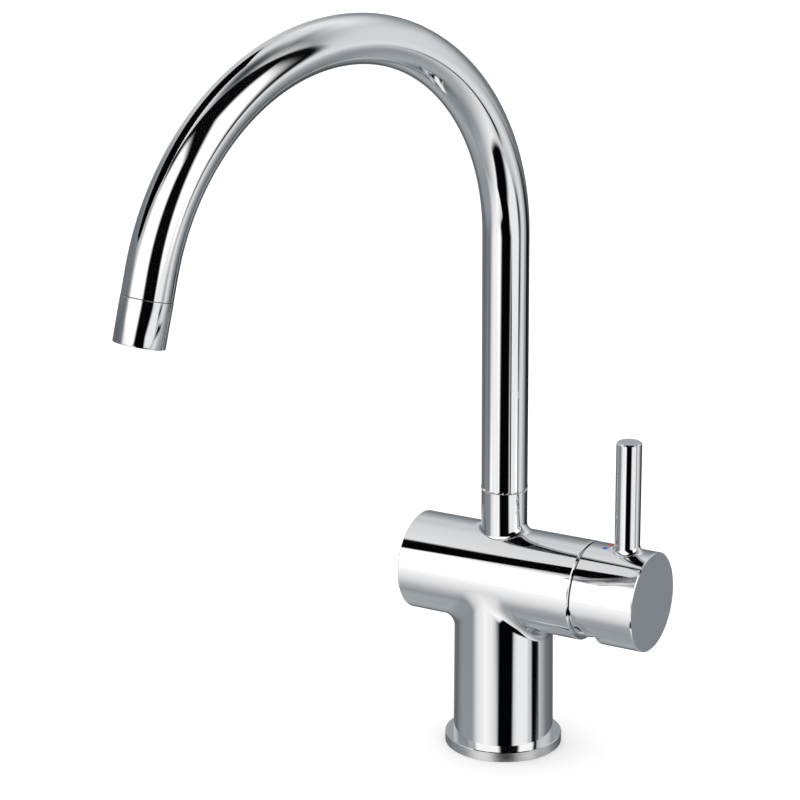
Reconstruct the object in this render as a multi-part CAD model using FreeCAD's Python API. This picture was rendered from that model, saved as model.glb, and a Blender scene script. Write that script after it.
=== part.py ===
import FreeCAD, Part
import math
import os

# Deck-mounted kitchen tap for hot, cold and filtered water.  A short column carries a
# horizontal valve barrel; the barrel's right end holds the ceramic cartridge and the cup
# handle with its upright pin, and a swivelling swan neck spout rises from its middle.
# Frame: origin on the column's axis where the base ring meets the worktop, +Z up, +X along
# the barrel towards the handle, -Y towards the user.  Sizes are in millimetres.

# ---- body casting ---------------------------------------------------------------------------
barrel_axis_height = 85.7
barrel_diameter = 47.6
barrel_edge_chamfer = 0.4
column_foot_diameter = 48.4
column_top_diameter = 47.2
column_blend_radius = 5.5
collar_blend_radius = 4.0
seam_chamfer = 0.4

# ---- base ring and deck seal ----------------------------------------------------------------
base_ring_diameter = 56.6
base_ring_height = 4.9
base_ring_chamfer = 0.3
base_ring_width = 7.35
foot_recess = 0.8
gasket_width = 3.8
gasket_thickness = 1.9
gasket_inset = 1.4

# ---- connections in the underside of the foot -----------------------------------------------
inlet_pitch = 21.0
inlet_thread_radius = 4.5
inlet_thread_length = 12.0
inlet_bore_radius = 3.25
filter_inlet_offset = 12.0
filter_inlet_thread_radius = 3.5
filter_inlet_thread_length = 10.0
filter_inlet_bore_radius = 2.5
stud_offset = 12.0
stud_thread_radius = 3.4
stud_thread_length = 16.0

# ---- blind end of the barrel ----------------------------------------------------------------
blind_bore_radius = 15.0
blind_bore_depth = 28.5
end_cap_radius = 21.0
end_cap_thickness = 2.0
end_cap_spigot_length = 8.0
end_cap_chamfer = 0.3

# ---- cartridge ------------------------------------------------------------------------------
cartridge_diameter = 35.0
chamber_web = 3.6
cartridge_wall = 3.0
cartridge_neck_radius = 13.0
cartridge_neck_length = 12.0
cartridge_shoulder = 2.4
base_flange_thickness = 1.8
base_plug_height = 5.8
fixed_disc_thickness = 4.2
moving_disc_thickness = 3.47
mixing_pocket_depth = 1.6
carrier_plate = 3.0
carrier_tongue_height = 4.0
carrier_tongue_width = 13.8
rotor_cover = 2.1
rotor_neck_radius = 10.85
pivot_pin_radius = 1.5
toe_radius = 3.5
toe_height = 2.5
stem_neck_radius = 3.0
stem_width = 8.0
port_radius = 3.0
filter_port_radius = 2.2
filter_outlet_radius = 2.0
side_port_offset = 9.5
side_port_drop = 4.0
outlet_port_rise = 10.0
filter_port_drop = 10.5
port_seal_width = 1.6
port_seal_height = 1.7

# ---- retaining nut and trim dome ------------------------------------------------------------
nut_engagement = 6.0
nut_thread_rim = 1.4
nut_collar_thickness = 2.5
nut_hex_height = 3.0
nut_hex_step = 0.82
dome_wall = 1.2
dome_reach = 12.5

# ---- handle ---------------------------------------------------------------------------------
handle_gap = 1.0
handle_diameter = 47.4
handle_length = 31.8
handle_wall = 1.5
handle_end_wall = 3.5
handle_edge_chamfer = 0.5
hub_radius = 8.0
hub_length = 10.3
socket_depth = 9.5
lever_diameter = 12.0
lever_rise = 76.2
lever_from_end = 13.4
lever_blend_radius = 3.0
lever_top_chamfer = 0.6
tilt_axis_offset = 2.5
tilt_angle = 22.0
relief_start = 2.0
relief_slope = 0.9
relief_length = 11.0
relief_corner_radius = 4.0
grub_screw_radius = 2.5
grub_screw_length = 6.0
grub_screw_from_end = 8.3
grub_key_across_flats = 2.5
grub_key_depth = 2.5
mark_radius = 1.35
mark_pitch = 5.4
mark_from_rim = 8.3
mark_depth = 0.6

# ---- spout ----------------------------------------------------------------------------------
spout_diameter = 22.0
spout_wall = 1.5
riser_length = 123.7
first_bend_radius = 100.9
first_bend_angle = 82.0
second_bend_radius = 111.8
second_bend_angle = 82.8
outlet_straight = 10.9
spout_swing = 15.2

# ---- swivel ---------------------------------------------------------------------------------
collar_bore_radius = 8.9
spigot_radius = 7.65
spigot_bore_radius = 5.2
spigot_grip = 16.0
spigot_reach = 1.5
bush_flange_radius = 10.4
bush_flange_thickness = 0.5
upper_bush_length = 5.0
lower_bush_length = 4.5
bush_ledge_width = 0.6
swivel_depth = 28.5
mixed_chamber_depth = 9.0
mixed_chamber_rise = 6.3
o_ring_section = 2.05
o_ring_sides = 8
o_ring_pitch = 5.0
upper_o_ring_drop = 14.3
retaining_groove_drop = 8.5
retaining_groove_width = 3.6
retaining_groove_depth = 1.15
retaining_screw_radius = 2.0
retaining_screw_tip_radius = 1.5

# ---- filtered water way ---------------------------------------------------------------------
filter_tube_diameter = 6.0
filter_tube_wall = 1.0
filter_tube_dip = 1.7
filter_seal_width = 1.9
filter_seal_height = 2.4
nozzle_radius = 5.0
nozzle_bore_radius = 2.2

# ---- aerator --------------------------------------------------------------------------------
aerator_overhang = 0.1
aerator_length = 19.8
aerator_lip_wall = 1.8
aerator_end_chamfer = 0.6
adapter_wall = 1.5
adapter_depth = 9.0
adapter_thread_length = 7.0
adapter_boss_wall = 1.55
adapter_ribs = 3
adapter_rib_width = 1.6
adapter_rib_height = 3.0
aerator_gasket_thickness = 1.6
insert_flange_thickness = 1.9
insert_recess = 1.2
insert_wall = 0.8
insert_grille_thickness = 2.0
insert_slots = 16
insert_slot_width = 0.8

# ---- clearances -----------------------------------------------------------------------------
running_clearance = 0.05
seat_clearance = 0.1
thread_clearance = 0.05
face_clearance = 0.03
axial_clearance = 0.1
slot_clearance = 0.2
dome_clearance = 0.45

# ---- places that follow from the sizes above ------------------------------------------------
barrel_radius = barrel_diameter / 2
mixed_chamber_floor = barrel_axis_height + mixed_chamber_rise
bush_ledge_height = mixed_chamber_floor + mixed_chamber_depth
collar_height = bush_ledge_height + swivel_depth
foot_spigot_radius = base_ring_diameter / 2 - base_ring_width
cartridge_radius = cartridge_diameter / 2
cavity_radius = cartridge_radius - cartridge_wall
chamber_floor_x = collar_bore_radius + chamber_web
cartridge_base_x = chamber_floor_x + slot_clearance
plug_x = cartridge_base_x + base_flange_thickness
fixed_disc_x = plug_x + base_plug_height
moving_disc_x = fixed_disc_x + fixed_disc_thickness + face_clearance
carrier_x = moving_disc_x + moving_disc_thickness
tongue_x = carrier_x + carrier_plate
tongue_top_x = tongue_x + carrier_tongue_height
toe_x = tongue_x + toe_height
inner_shoulder_x = tongue_top_x + rotor_cover
shoulder_x = inner_shoulder_x + cartridge_shoulder
neck_top_x = shoulder_x + cartridge_neck_length
body_end = shoulder_x + nut_engagement
handle_start = body_end + handle_gap
handle_end = handle_start + handle_length
handle_radius = handle_diameter / 2
handle_inner_radius = handle_radius - handle_wall
tilt_axis_x = body_end + tilt_axis_offset
lever_x = handle_end - lever_from_end
lever_top_height = barrel_axis_height + lever_rise
dome_radius = handle_inner_radius - dome_clearance
dome_inner_radius = dome_radius - dome_wall
nut_collar_radius = dome_inner_radius - seat_clearance
nut_hex_across_flats = (nut_collar_radius - nut_hex_step) * math.sqrt(3)
nut_radius = cartridge_radius + nut_thread_rim
tilt_arm = tilt_axis_x - toe_x
disc_travel = tilt_arm * math.sin(math.radians(tilt_angle))
disc_offset = -disc_travel / 2
fixed_disc_radius = cavity_radius - slot_clearance
moving_disc_radius = fixed_disc_radius - disc_travel / 2 - slot_clearance
spout_radius = spout_diameter / 2
spout_inner_radius = spout_radius - spout_wall
spout_bottom = collar_height + bush_flange_thickness + face_clearance
riser_top_height = collar_height + riser_length
spigot_bottom = bush_ledge_height - spigot_reach
upper_o_ring_height = collar_height - upper_o_ring_drop
lower_o_ring_height = upper_o_ring_height - o_ring_pitch
retaining_groove_height = collar_height - retaining_groove_drop
filter_tube_bottom = barrel_axis_height - filter_tube_dip
filter_tube_radius = filter_tube_diameter / 2
aerator_radius = spout_radius + aerator_overhang
adapter_radius = aerator_radius - aerator_lip_wall + insert_wall
shell_bore_radius = adapter_radius + thread_clearance
lip_bore_radius = aerator_radius - aerator_lip_wall
gasket_start = adapter_thread_length
insert_start = gasket_start + aerator_gasket_thickness
insert_step = insert_start + insert_flange_thickness


def vec(x, y, z):
    return FreeCAD.Vector(x, y, z)


def rod_x(x0, x1, radius, y=0.0, z=barrel_axis_height):
    """A round bar or drilling along the barrel."""
    return Part.makeCylinder(radius, x1 - x0, vec(x0, y, z), vec(1, 0, 0))


def rod_z(z0, z1, radius, x=0.0, y=0.0):
    """An upright round bar or drilling."""
    return Part.makeCylinder(radius, z1 - z0, vec(x, y, z0), vec(0, 0, 1))


def ring_z(z0, z1, outer, inner):
    """An upright plain ring on the column's axis."""
    return rod_z(z0, z1, outer).cut(rod_z(z0, z1, inner))


def block(x0, x1, half_width, z0, z1):
    """A block about the barrel's middle plane; z is counted from the barrel's axis."""
    return Part.makeBox(x1 - x0, 2 * half_width, z1 - z0, vec(x0, -half_width, barrel_axis_height + z0))


def rim_edges(shape, direction, place, radius):
    """The full circles of one radius that lie at one place along a main axis."""
    found = []
    for edge in shape.Edges:
        curve = edge.Curve
        if not isinstance(curve, Part.Circle) or abs(curve.Radius - radius) > 1e-4:
            continue
        if abs(curve.Center.dot(direction) - place) < 1e-4:
            found.append(edge)
    return found


def freeform_edges(shape, low, high):
    """The intersection curves whose middle lies between two heights."""
    found = []
    for edge in shape.Edges:
        simple = isinstance(edge.Curve, (Part.Circle, Part.Line))
        if not simple and low < edge.BoundBox.Center.z < high:
            found.append(edge)
    return found


# ---- body casting ---------------------------------------------------------------------------


def body_outside():
    barrel = rod_x(-body_end, body_end, barrel_radius)
    rise = barrel_axis_height - base_ring_height
    foot = vec(0, 0, base_ring_height)
    column = Part.makeCone(column_foot_diameter / 2, column_top_diameter / 2, rise, foot)
    collar = rod_z(barrel_axis_height, collar_height, spout_radius)
    shape = barrel.fuse(column).fuse(collar).removeSplitter()
    column_joint = freeform_edges(shape, base_ring_height, barrel_axis_height)
    shape = shape.makeFillet(column_blend_radius, column_joint)
    collar_joint = freeform_edges(shape, barrel_axis_height + barrel_radius / 2, collar_height)
    shape = shape.makeFillet(collar_blend_radius, collar_joint)
    ends = rim_edges(shape, vec(1, 0, 0), -body_end, barrel_radius)
    ends += rim_edges(shape, vec(1, 0, 0), body_end, barrel_radius)
    shape = shape.makeChamfer(barrel_edge_chamfer, ends)
    return shape.makeChamfer(seam_chamfer, rim_edges(shape, vec(0, 0, 1), collar_height, spout_radius))


def foot_connections():
    """Threaded sockets in the foot and the drillings that rise from them."""
    port_z = barrel_axis_height - side_port_drop
    filter_z = barrel_axis_height - filter_port_drop
    cuts = []
    for side in (-1, 1):
        y = side * inlet_pitch / 2
        cuts.append(rod_z(foot_recess, foot_recess + inlet_thread_length, inlet_thread_radius, 0, y))
        cuts.append(rod_z(foot_recess, port_z, inlet_bore_radius, 0, y))
        cuts.append(rod_x(0, chamber_floor_x, port_radius, side * side_port_offset, port_z))
    x = -filter_inlet_offset
    cuts.append(rod_z(foot_recess, foot_recess + filter_inlet_thread_length, filter_inlet_thread_radius, x))
    cuts.append(rod_z(foot_recess, filter_z, filter_inlet_bore_radius, x))
    cuts.append(rod_x(x, chamber_floor_x, filter_port_radius, 0, filter_z))
    cuts.append(rod_z(foot_recess, foot_recess + stud_thread_length, stud_thread_radius, stud_offset))
    return cuts


def swivel_bores():
    """The stepped bore of the collar, the filtered water seat below it and the cartridge's two outlets."""
    ledge = collar_bore_radius - bush_ledge_width
    seat = filter_tube_radius + running_clearance
    seal_radius = seat + filter_seal_width
    seat_bottom = filter_tube_bottom - slot_clearance
    outlet_z = barrel_axis_height + outlet_port_rise
    screw_axis = vec(0, spigot_radius, retaining_groove_height)
    return [
        rod_z(bush_ledge_height, collar_height, collar_bore_radius),
        rod_z(mixed_chamber_floor, bush_ledge_height, ledge),
        rod_z(mixed_chamber_floor - filter_seal_height, mixed_chamber_floor, seal_radius),
        rod_z(seat_bottom, mixed_chamber_floor, seat),
        rod_x(0, chamber_floor_x, port_radius, 0, outlet_z),
        rod_x(0, chamber_floor_x, filter_outlet_radius),
        Part.makeCylinder(retaining_screw_radius + thread_clearance, spout_radius, screw_axis, vec(0, 1, 0)),
    ]


def mixer_body():
    shape = body_outside()
    shape = shape.fuse(rod_z(foot_recess, base_ring_height, foot_spigot_radius))
    mouth_x = shoulder_x - base_flange_thickness
    blind_end = -body_end + blind_bore_depth
    cap_seat = -body_end + end_cap_thickness
    cuts = foot_connections() + swivel_bores()
    cuts.append(rod_x(chamber_floor_x, body_end, cartridge_radius + seat_clearance))
    cuts.append(rod_x(mouth_x, body_end, nut_radius + thread_clearance))
    cuts.append(rod_x(-body_end, cap_seat, end_cap_radius + thread_clearance))
    cuts.append(rod_x(-body_end, blind_end, blind_bore_radius))
    for cutter in cuts:
        shape = shape.cut(cutter)
    return shape


# ---- base -----------------------------------------------------------------------------------


def base_ring():
    outer = base_ring_diameter / 2
    shape = ring_z(0, base_ring_height, outer, foot_spigot_radius + seat_clearance)
    rims = rim_edges(shape, vec(0, 0, 1), 0, outer)
    rims += rim_edges(shape, vec(0, 0, 1), base_ring_height, outer)
    shape = shape.makeChamfer(base_ring_chamfer, rims)
    groove_outer = outer - gasket_inset
    groove = ring_z(0, gasket_thickness + seat_clearance, groove_outer, groove_outer - gasket_width)
    return shape.cut(groove)


def base_gasket():
    outer = base_ring_diameter / 2 - gasket_inset - seat_clearance
    inner = base_ring_diameter / 2 - gasket_inset - gasket_width + seat_clearance
    return ring_z(0, gasket_thickness, outer, inner)


# ---- blind end ------------------------------------------------------------------------------


def end_cap():
    face_x = -body_end
    disc = rod_x(face_x, face_x + end_cap_thickness, end_cap_radius)
    disc = disc.makeChamfer(end_cap_chamfer, rim_edges(disc, vec(1, 0, 0), face_x, end_cap_radius))
    plug_radius = blind_bore_radius - seat_clearance
    spigot_start = face_x + end_cap_thickness
    spigot_end = spigot_start + end_cap_spigot_length
    spigot = rod_x(spigot_start, spigot_end, plug_radius)
    shape = disc.fuse(spigot)
    middle = (spigot_start + spigot_end) / 2
    half_groove = o_ring_section / 2 + seat_clearance
    band = rod_x(middle - half_groove, middle + half_groove, blind_bore_radius)
    core = rod_x(middle - half_groove, middle + half_groove, blind_bore_radius - o_ring_section)
    shape = shape.cut(band.cut(core))
    hollow = rod_x(spigot_start, spigot_end, blind_bore_radius - 2 * o_ring_section)
    return shape.cut(hollow)


def o_ring(outer_radius, centre, direction):
    """A ring that just clears its bore and its groove; its section has a few flat sides."""
    half = o_ring_section / 2 - face_clearance
    middle = outer_radius - o_ring_section / 2
    points = []
    for step in range(o_ring_sides + 1):
        turn = math.tau * (step + 0.5) / o_ring_sides
        points.append(vec(middle + half * math.cos(turn), 0, half * math.sin(turn)))
    ring = Part.Face(Part.makePolygon(points)).revolve(vec(0, 0, 0), vec(0, 0, 1), 360)
    ring.rotate(vec(0, 0, 0), vec(0, 1, 0), math.degrees(math.atan2(direction.x, direction.z)))
    ring.translate(centre)
    return ring


def end_cap_o_ring():
    middle = -body_end + end_cap_thickness + end_cap_spigot_length / 2
    return o_ring(blind_bore_radius, vec(middle, 0, barrel_axis_height), vec(1, 0, 0))


# ---- cartridge ------------------------------------------------------------------------------


def port_places():
    """Radius and place (y, z from the barrel's axis) of each port of the cartridge's base."""
    return [
        (port_radius, side_port_offset, -side_port_drop),
        (port_radius, -side_port_offset, -side_port_drop),
        (port_radius, 0.0, outlet_port_rise),
        (filter_port_radius, 0.0, -filter_port_drop),
        (filter_outlet_radius, 0.0, 0.0),
    ]


def cut_ports(shape, x0, x1, extra=0.0):
    for radius, y, z in port_places():
        shape = shape.cut(rod_x(x0, x1, radius + extra, y, barrel_axis_height + z))
    return shape


def cartridge_base():
    flange = rod_x(cartridge_base_x, plug_x, cartridge_radius)
    plug = rod_x(plug_x, fixed_disc_x, cavity_radius - thread_clearance)
    shape = cut_ports(flange.fuse(plug), cartridge_base_x, fixed_disc_x)
    recess_x = chamber_floor_x + port_seal_height
    return cut_ports(shape, cartridge_base_x, recess_x, port_seal_width)


def cartridge_port_seals():
    rings = []
    end_x = chamber_floor_x + port_seal_height
    for radius, y, rise in port_places():
        z = barrel_axis_height + rise
        ring = rod_x(chamber_floor_x, end_x, radius + port_seal_width - thread_clearance, y, z)
        hole = rod_x(chamber_floor_x, end_x, radius + thread_clearance, y, z)
        rings.append(ring.cut(hole))
    return Part.makeCompound(rings)


def cartridge_housing():
    shape = rod_x(plug_x, shoulder_x, cartridge_radius)
    shape = shape.fuse(rod_x(shoulder_x, neck_top_x, cartridge_neck_radius))
    shape = shape.cut(rod_x(plug_x, inner_shoulder_x, cavity_radius))
    return shape.cut(rod_x(inner_shoulder_x, neck_top_x, rotor_neck_radius + running_clearance))


def fixed_disc():
    shape = rod_x(fixed_disc_x, fixed_disc_x + fixed_disc_thickness, fixed_disc_radius)
    return cut_ports(shape, fixed_disc_x, fixed_disc_x + fixed_disc_thickness)


def moving_disc():
    """Lapped disc with the pocket that joins the ports; it rests half its travel below the axis."""
    centre_z = barrel_axis_height + disc_offset
    shape = rod_x(moving_disc_x, carrier_x, moving_disc_radius, 0, centre_z)
    pocket_top = moving_disc_x + mixing_pocket_depth
    half_pocket = moving_disc_radius / 2
    pocket = block(moving_disc_x, pocket_top, half_pocket, disc_offset, disc_offset + half_pocket)
    end = rod_x(moving_disc_x, pocket_top, half_pocket, 0, centre_z)
    return shape.cut(pocket.fuse(end))


def disc_carrier():
    """Plate on the moving disc whose tongue slides in the rotor and holds the stem's toe."""
    plate = rod_x(carrier_x, tongue_x, moving_disc_radius, 0, barrel_axis_height + disc_offset)
    half_width = carrier_tongue_width / 2
    half_length = math.sqrt(moving_disc_radius ** 2 - half_width ** 2)
    tongue = block(tongue_x, tongue_top_x, half_width, disc_offset - half_length, disc_offset + half_length)
    reach = toe_radius + slot_clearance
    socket = block(toe_x - reach, tongue_top_x, reach, -reach - axial_clearance, reach + axial_clearance)
    return plate.fuse(tongue).cut(socket)


def cartridge_rotor():
    """Turret that the handle turns: a flange in the housing, a neck in its bore, and the stem's slot."""
    flange_bottom = tongue_x + slot_clearance
    flange_top = inner_shoulder_x - axial_clearance
    rotor_top = neck_top_x - axial_clearance
    shape = rod_x(flange_bottom, flange_top, fixed_disc_radius)
    shape = shape.fuse(rod_x(flange_top, rotor_top, rotor_neck_radius))
    groove_half = carrier_tongue_width / 2 + axial_clearance
    groove_top = tongue_top_x + slot_clearance
    shape = shape.cut(block(flange_bottom, groove_top, groove_half, -cavity_radius, cavity_radius))
    lean = math.radians(tilt_angle)
    slot_half = stem_width / 2 + slot_clearance
    half_stem = stem_width / 2 / math.cos(lean)
    half_toe = toe_radius / math.cos(lean)
    low = -(rotor_top - tilt_axis_x) * math.tan(lean) - half_stem - slot_clearance
    flange_high = tilt_arm * math.sin(lean) + half_toe + slot_clearance
    neck_high = (tilt_axis_x - flange_top) * math.tan(lean) + half_toe + slot_clearance
    shape = shape.cut(block(groove_top, flange_top, slot_half, low, flange_high))
    shape = shape.cut(block(flange_top, rotor_top, slot_half, low, neck_high))
    return shape.cut(pivot_rod(pivot_pin_radius + thread_clearance / 2, rotor_neck_radius))


def pivot_rod(radius, half_length):
    start = vec(tilt_axis_x, -half_length, barrel_axis_height)
    return Part.makeCylinder(radius, 2 * half_length, start, vec(0, 1, 0))


def pivot_pin():
    return pivot_rod(pivot_pin_radius, rotor_neck_radius - axial_clearance)


def cartridge_stem():
    """Square stem that tilts on the pivot pin; its rounded toe moves the disc carrier."""
    half = stem_width / 2
    square_start = tilt_axis_x - half - pivot_pin_radius
    stem_end = handle_end - handle_end_wall - hub_length + socket_depth - slot_clearance
    shape = block(square_start, stem_end, half, -half, half)
    shape = shape.fuse(rod_x(toe_x, square_start, stem_neck_radius))
    toe_start = vec(toe_x, -toe_radius, barrel_axis_height)
    shape = shape.fuse(Part.makeCylinder(toe_radius, 2 * toe_radius, toe_start, vec(0, 1, 0)))
    return shape.cut(pivot_rod(pivot_pin_radius + running_clearance, stem_width))


# ---- retaining nut and trim dome ------------------------------------------------------------


def hexagon_z(z0, z1, across_flats):
    """An upright hexagon bar."""
    corner = across_flats / math.sqrt(3)
    points = []
    for step in range(7):
        turn = math.tau * step / 6
        points.append(vec(corner * math.cos(turn), corner * math.sin(turn), z0))
    return Part.Face(Part.makePolygon(points)).extrude(vec(0, 0, z1 - z0))


def hexagon_x(x0, x1, across_flats):
    """A hexagon bar along the barrel, with a flat in front."""
    bar = hexagon_z(x0, x1, across_flats)
    bar.rotate(vec(0, 0, 0), vec(0, 1, 0), 90)
    bar.translate(vec(0, 0, barrel_axis_height))
    return bar


def cartridge_nut():
    collar_start = body_end + slot_clearance
    collar_end = collar_start + nut_collar_thickness
    hex_end = collar_end + nut_hex_height
    shape = rod_x(shoulder_x + axial_clearance, collar_start, nut_radius)
    shape = shape.fuse(rod_x(collar_start, collar_end, nut_collar_radius))
    shape = shape.fuse(hexagon_x(collar_end, hex_end, nut_hex_across_flats))
    bore = rod_x(shoulder_x + axial_clearance, hex_end, cartridge_neck_radius + slot_clearance)
    return shape.cut(bore)


def trim_dome():
    """A thin sleeve that runs into a sphere about the tilt axis, open in front for the stem."""
    start = body_end + slot_clearance - tilt_axis_x
    bow = math.asin(dome_reach / dome_inner_radius)
    lines = []
    ends = []
    for radius in (dome_radius, dome_inner_radius):
        back = vec(start, 0, radius)
        top = vec(0, 0, radius)
        middle = vec(radius * math.sin(bow / 2), 0, radius * math.cos(bow / 2))
        front = vec(radius * math.sin(bow), 0, radius * math.cos(bow))
        lines += [Part.makeLine(back, top), Part.Arc(top, middle, front).toShape()]
        ends.append((back, front))
    lines.append(Part.makeLine(ends[0][0], ends[1][0]))
    lines.append(Part.makeLine(ends[0][1], ends[1][1]))
    profile = Part.Face(Part.Wire(Part.__sortEdges__(lines)))
    dome = profile.revolve(vec(0, 0, 0), vec(1, 0, 0), 360)
    dome.translate(vec(tilt_axis_x, 0, barrel_axis_height))
    return dome


# ---- handle ---------------------------------------------------------------------------------


def relief_cut():
    """The notch that lets the lower rim swing in towards the barrel."""
    margin = handle_wall
    deep = handle_radius + margin
    foot = relief_start + relief_length / relief_slope
    far_x = handle_start + relief_length
    outline = [
        (handle_start - margin, relief_start - margin / relief_slope),
        (far_x, foot),
        (far_x, deep),
        (handle_start - margin, deep),
    ]
    points = [vec(x, -deep, barrel_axis_height - drop) for x, drop in outline]
    prism = Part.Face(Part.makePolygon(points + points[:1])).extrude(vec(0, 2 * deep, 0))
    corner = [e for e in prism.Edges if abs(e.BoundBox.XLength) < 1e-6 and abs(e.BoundBox.ZLength) < 1e-6]
    corner = [e for e in corner if abs(e.BoundBox.XMin - far_x) < 1e-4]
    corner = [e for e in corner if abs(e.BoundBox.ZMin - barrel_axis_height + foot) < 1e-4]
    return prism.makeFillet(relief_corner_radius, corner)


def handle_outside():
    """Cup and upright pin in one, blended where they meet."""
    cup = rod_x(handle_start, handle_end, handle_radius)
    pin = rod_z(barrel_axis_height, lever_top_height, lever_diameter / 2, lever_x)
    shape = cup.fuse(pin).removeSplitter()
    joint = freeform_edges(shape, barrel_axis_height, lever_top_height)
    shape = shape.makeFillet(lever_blend_radius, joint)
    top = rim_edges(shape, vec(0, 0, 1), lever_top_height, lever_diameter / 2)
    shape = shape.makeChamfer(lever_top_chamfer, top)
    shape = shape.makeChamfer(handle_edge_chamfer, rim_edges(shape, vec(1, 0, 0), handle_end, handle_radius))
    return shape.makeChamfer(seam_chamfer, rim_edges(shape, vec(1, 0, 0), handle_start, handle_radius))


def handle():
    wall_x = handle_end - handle_end_wall
    hub_x = wall_x - hub_length
    shape = handle_outside().cut(rod_x(handle_start, wall_x, handle_inner_radius))
    shape = shape.fuse(rod_x(hub_x, wall_x, hub_radius))
    half = stem_width / 2 + axial_clearance
    shape = shape.cut(block(hub_x, hub_x + socket_depth, half, -half, half))
    shape = shape.cut(relief_cut())
    low = barrel_axis_height - handle_radius
    hole_x = handle_end - grub_screw_from_end
    shape = shape.cut(rod_z(low, barrel_axis_height, grub_screw_radius + thread_clearance, hole_x))
    for side in (-1, 1):
        shape = shape.cut(mark_plug(side, mark_radius))
    return shape


def handle_grub_screw():
    x = handle_end - grub_screw_from_end
    tip = barrel_axis_height - stem_width / 2 - thread_clearance
    bottom = tip - grub_screw_length
    key = hexagon_z(bottom, bottom + grub_key_depth, grub_key_across_flats)
    key.translate(vec(x, 0, 0))
    return rod_z(bottom, tip, grub_screw_radius, x).cut(key)


def mark_plug(side, radius):
    """A short plug square to the handle's surface, in front of or behind its top line."""
    lean = side * mark_pitch / 2 / handle_radius
    outward = vec(0, math.sin(lean), math.cos(lean))
    x = handle_start + mark_from_rim
    start = vec(x, 0, barrel_axis_height) + outward * (handle_radius - mark_depth)
    return Part.makeCylinder(radius, 2 * mark_depth, start, outward)


def enamel_mark(side):
    """Enamel dot, flush with the handle's surface."""
    x = handle_start + mark_from_rim
    skin = rod_x(x - 2 * mark_radius, x + 2 * mark_radius, handle_radius)
    return mark_plug(side, mark_radius - face_clearance).common(skin)


# ---- swivel ---------------------------------------------------------------------------------


def lower_swivel_bush():
    top = bush_ledge_height + lower_bush_length
    inner = spigot_radius + running_clearance
    return ring_z(bush_ledge_height, top, collar_bore_radius - face_clearance, inner)


def upper_swivel_bush():
    bottom = collar_height - upper_bush_length
    top = collar_height + bush_flange_thickness
    inner = spigot_radius + running_clearance
    sleeve = ring_z(bottom, collar_height, collar_bore_radius - face_clearance, inner)
    return sleeve.fuse(ring_z(collar_height, top, bush_flange_radius, inner))


def spout_spigot():
    """Turned tail of the spout: pressed in the tube above, sealed and held in the collar below."""
    outer = rod_z(spigot_bottom, spout_bottom, spigot_radius)
    outer = outer.fuse(rod_z(spout_bottom, spout_bottom + spigot_grip, spout_inner_radius - face_clearance))
    shape = outer.cut(rod_z(spigot_bottom, spout_bottom + spigot_grip, spigot_bore_radius))
    seal_seat = collar_bore_radius - running_clearance - o_ring_section
    screw_seat = spigot_radius - retaining_groove_depth
    half_groove = o_ring_section / 2 + seat_clearance
    half_slot = retaining_groove_width / 2
    grooves = [
        (lower_o_ring_height, half_groove, seal_seat),
        (upper_o_ring_height, half_groove, seal_seat),
        (retaining_groove_height, half_slot, screw_seat),
    ]
    for height, half_width, seat in grooves:
        shape = shape.cut(ring_z(height - half_width, height + half_width, collar_bore_radius, seat))
    return shape


def spout_o_rings():
    heights = (lower_o_ring_height, upper_o_ring_height)
    outer = collar_bore_radius - running_clearance
    return Part.makeCompound([o_ring(outer, vec(0, 0, height), vec(0, 0, 1)) for height in heights])


def spout_retaining_screw():
    """Grub screw in the back of the collar; its tip runs in the spigot's groove."""
    tip_y = spigot_radius - retaining_groove_depth + slot_clearance
    step_y = spigot_radius + slot_clearance
    head_y = spout_radius - slot_clearance
    height = retaining_groove_height
    tip = Part.makeCylinder(retaining_screw_tip_radius, step_y - tip_y, vec(0, tip_y, height), vec(0, 1, 0))
    thread = Part.makeCylinder(retaining_screw_radius, head_y - step_y, vec(0, step_y, height), vec(0, 1, 0))
    return tip.fuse(thread)


def filter_tube_seal():
    inner = filter_tube_radius + running_clearance
    outer = inner + filter_seal_width - thread_clearance
    return ring_z(mixed_chamber_floor - filter_seal_height, mixed_chamber_floor, outer, inner)


# ---- spout ----------------------------------------------------------------------------------


def bend_end(centre, radius, turn):
    """Point and heading at the end of a bend in the spout's plane; turn is counted from upright."""
    angle = math.radians(turn)
    point = vec(centre.x - radius * math.cos(angle), 0, centre.z + radius * math.sin(angle))
    return point, vec(math.sin(angle), 0, math.cos(angle))


def swan_neck_path():
    """Centres of the two bends and the place and heading where they meet and end."""
    first_centre = vec(first_bend_radius, 0, riser_top_height)
    crown, crown_heading = bend_end(first_centre, first_bend_radius, first_bend_angle)
    inward = vec(crown_heading.z, 0, -crown_heading.x)
    second_centre = crown + inward * second_bend_radius
    end, end_heading = bend_end(second_centre, second_bend_radius, first_bend_angle + second_bend_angle)
    return first_centre, crown, crown_heading, second_centre, end, end_heading


def ring_face(outer, inner, centre, heading):
    """A flat ring square to a heading."""
    disc = Part.Face(Part.Wire(Part.makeCircle(outer, centre, heading)))
    return disc.cut(Part.Face(Part.Wire(Part.makeCircle(inner, centre, heading))))


def bent_pipe(outer, inner, bottom, tail):
    """A pipe on the swan neck's line, from a height on the riser to a length past the last bend."""
    first_centre, crown, crown_heading, second_centre, end, end_heading = swan_neck_path()
    riser_top = vec(0, 0, riser_top_height)
    first = ring_face(outer, inner, riser_top, vec(0, 0, 1))
    second = ring_face(outer, inner, crown, crown_heading)
    last = ring_face(outer, inner, end, end_heading)
    shape = ring_z(bottom, riser_top_height, outer, inner)
    shape = shape.fuse(first.revolve(first_centre, vec(0, 1, 0), first_bend_angle))
    shape = shape.fuse(second.revolve(second_centre, vec(0, 1, 0), second_bend_angle))
    return shape.fuse(last.extrude(end_heading * tail))


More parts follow.
